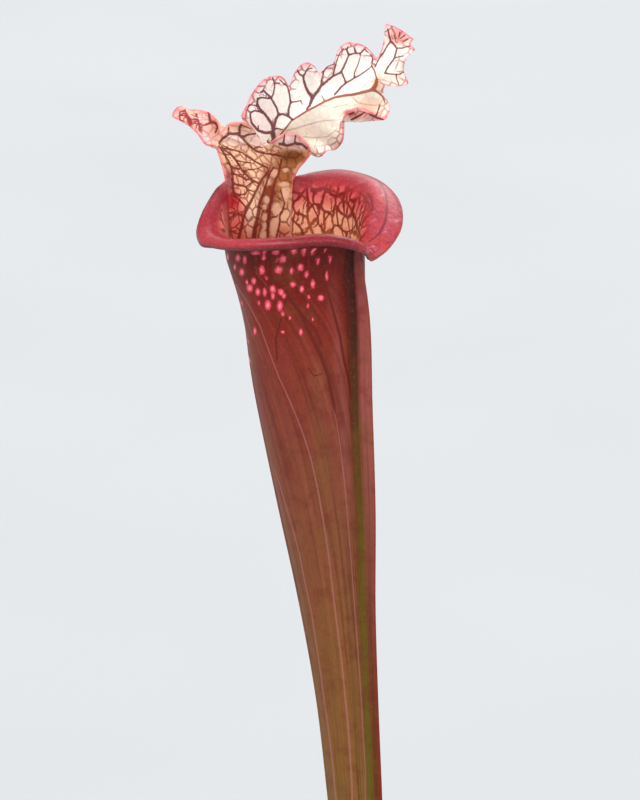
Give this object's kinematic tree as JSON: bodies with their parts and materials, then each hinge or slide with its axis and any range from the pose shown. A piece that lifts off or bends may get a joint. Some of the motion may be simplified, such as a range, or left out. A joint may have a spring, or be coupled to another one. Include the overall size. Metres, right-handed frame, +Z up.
{
  "type": "potted sarracenia hybrid",
  "caption": "Tall trumpet pitcher leaf with rolled lip, front wing and ruffled veined hood, growing from a rhizome in a plain round nursery pot.",
  "frame": {"origin": "centre of the pot's flat underside, at the middle of the whole object's footprint", "axes": "+Z up along the pitcher; -Y towards the viewer of the picture; the lip's spout and the wing face +X and -Y"},
  "size_m": [0.144, 0.144, 0.5382],
  "materials": {
    "pot": "dull black nursery plastic",
    "growing_medium": "damp peat with moss and perlite",
    "rhizome": "rough brown bark with dry leaf bases",
    "pitcher_leaf": "waxy red-brown leaf, cream hood with purple-red veins",
    "young_leaf": "fresh waxy green"
  },
  "bodies": {
    "root": {"pot": "pot", "growing_medium": "growing_medium", "rhizome": "rhizome", "pitcher": "pitcher_leaf", "young_pitcher": "young_leaf", "sword_leaf_1": "young_leaf", "sword_leaf_2": "young_leaf"}
  },
  "joints": []
}
